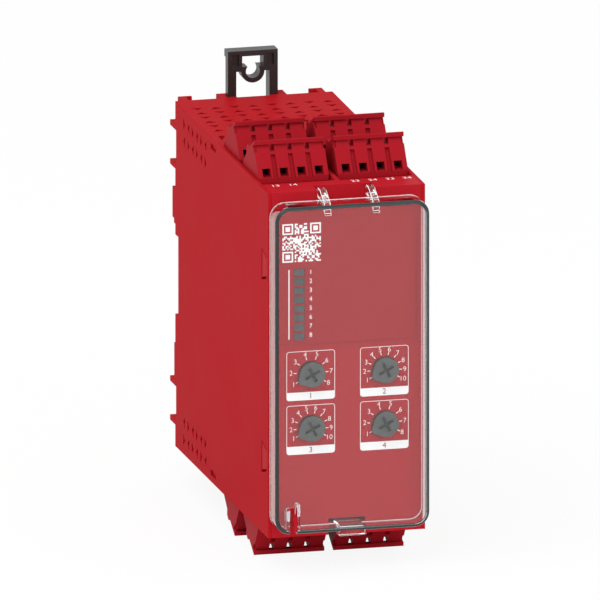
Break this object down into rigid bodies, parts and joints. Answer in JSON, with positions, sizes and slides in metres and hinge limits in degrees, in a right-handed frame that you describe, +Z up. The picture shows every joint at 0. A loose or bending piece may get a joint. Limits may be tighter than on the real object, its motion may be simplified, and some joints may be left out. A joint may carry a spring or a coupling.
{
  "type": "safety relay",
  "caption": "Slim rail-mounted safety relay: louvred housing, plug-in terminal blocks at both ends, rotary selectors behind a hinged clear cover and a slide-out screw lug.",
  "frame": {"origin": "where the 35 mm rail's centre line meets the plane that the module's back rests on, mid-width", "axes": "+Z up the module, +Y back into the rail, so the front panel faces -Y, +X to the right as seen from the front"},
  "size_m": [0.045, 0.1222, 0.1219],
  "materials": {
    "housing_red": "fine moulded texture, satin",
    "front_red": "fine moulded texture, satin",
    "plug_red": "satin",
    "clear_plastic": "polished clear polycarbonate",
    "black_plastic": "satin",
    "smoked_window": "smoked, smooth",
    "lamp_white": "smooth",
    "knob_grey": "satin",
    "switch_black": "satin",
    "spring_steel": "rolled strip",
    "tinned_pin": "tinned",
    "header_black": "satin",
    "circuit_board": "solder resist",
    "relay_body": "satin",
    "ferrite": "sintered",
    "winding_tape": "tape",
    "capacitor_can": "sleeved can",
    "chip_black": "matt"
  },
  "bodies": {
    "housing": {"main_housing": "housing_red", "front_cap": "front_red", "light_guide": "smoked_window", "status_lights": "lamp_white", "front_board": "circuit_board", "selector_switch_upper_left": "switch_black", "selector_switch_upper_right": "switch_black", "selector_switch_lower_left": "switch_black", "selector_switch_lower_right": "switch_black", "terminal_plug_top_front_left": "plug_red", "plug_clamps_top_front_left": "spring_steel", "pin_header_top_front_left": "header_black", "terminal_plug_top_front_right": "plug_red", "plug_clamps_top_front_right": "spring_steel", "pin_header_top_front_right": "header_black", "terminal_plug_top_rear_left": "plug_red", "plug_clamps_top_rear_left": "spring_steel", "pin_header_top_rear_left": "header_black", "terminal_plug_top_rear_right": "plug_red", "plug_clamps_top_rear_right": "spring_steel", "pin_header_top_rear_right": "header_black", "header_pins_top_left": "tinned_pin", "header_pins_top_right": "tinned_pin", "terminal_board_top": "circuit_board", "terminal_plug_bottom_front_left": "plug_red", "plug_clamps_bottom_front_left": "spring_steel", "pin_header_bottom_front_left": "header_black", "terminal_plug_bottom_front_right": "plug_red", "plug_clamps_bottom_front_right": "spring_steel", "pin_header_bottom_front_right": "header_black", "terminal_plug_bottom_rear_left": "plug_red", "plug_clamps_bottom_rear_left": "spring_steel", "pin_header_bottom_rear_left": "header_black", "terminal_plug_bottom_rear_right": "plug_red", "plug_clamps_bottom_rear_right": "spring_steel", "pin_header_bottom_rear_right": "header_black", "header_pins_bottom_left": "tinned_pin", "header_pins_bottom_right": "tinned_pin", "terminal_board_bottom": "circuit_board", "control_board": "circuit_board", "power_board": "circuit_board", "relay_upper": "relay_body", "relay_lower": "relay_body", "transformer_core": "ferrite", "transformer_winding": "winding_tape", "capacitors": "capacitor_can", "fuse": "switch_black", "logic_chips": "chip_black", "board_link": "header_black"},
    "cover": {"clear_cover": "clear_plastic"},
    "lug_slide": {"upper_mounting_lug": "black_plastic"},
    "catch": {"rail_foot": "black_plastic"},
    "knob_upper_left": {"selector_knob_upper_left": "knob_grey"},
    "knob_upper_right": {"selector_knob_upper_right": "knob_grey"},
    "knob_lower_left": {"selector_knob_lower_left": "knob_grey"},
    "knob_lower_right": {"selector_knob_lower_right": "knob_grey"}
  },
  "joints": [
    {"name": "cover_hinge", "type": "hinge", "parent": "housing", "child": "cover", "pos_m": [0, -0.1055, 0.05065], "axis": [-1, 0, 0], "range_deg": [0, 110]},
    {"name": "lug_travel", "type": "slide", "parent": "housing", "child": "lug_slide", "axis": [0, 0, -1], "range_m": [0, 0.0105]},
    {"name": "catch_travel", "type": "slide", "parent": "housing", "child": "catch", "axis": [0, 0, -1], "range_m": [0, 0.004], "stiffness_N_per_m": 1500, "springref_m": -0.001},
    {"name": "turn_upper_left", "type": "hinge", "parent": "housing", "child": "knob_upper_left", "pos_m": [-0.01015, -0.1067, -0.0007], "axis": [0, 1, 0], "range_deg": [0, 234]},
    {"name": "turn_upper_right", "type": "hinge", "parent": "housing", "child": "knob_upper_right", "pos_m": [0.01095, -0.1067, -0.0007], "axis": [0, 1, 0], "range_deg": [0, 234]},
    {"name": "turn_lower_left", "type": "hinge", "parent": "housing", "child": "knob_lower_left", "pos_m": [-0.01015, -0.1067, -0.0162], "axis": [0, 1, 0], "range_deg": [0, 234]},
    {"name": "turn_lower_right", "type": "hinge", "parent": "housing", "child": "knob_lower_right", "pos_m": [0.01095, -0.1067, -0.0162], "axis": [0, 1, 0], "range_deg": [0, 234]}
  ]
}
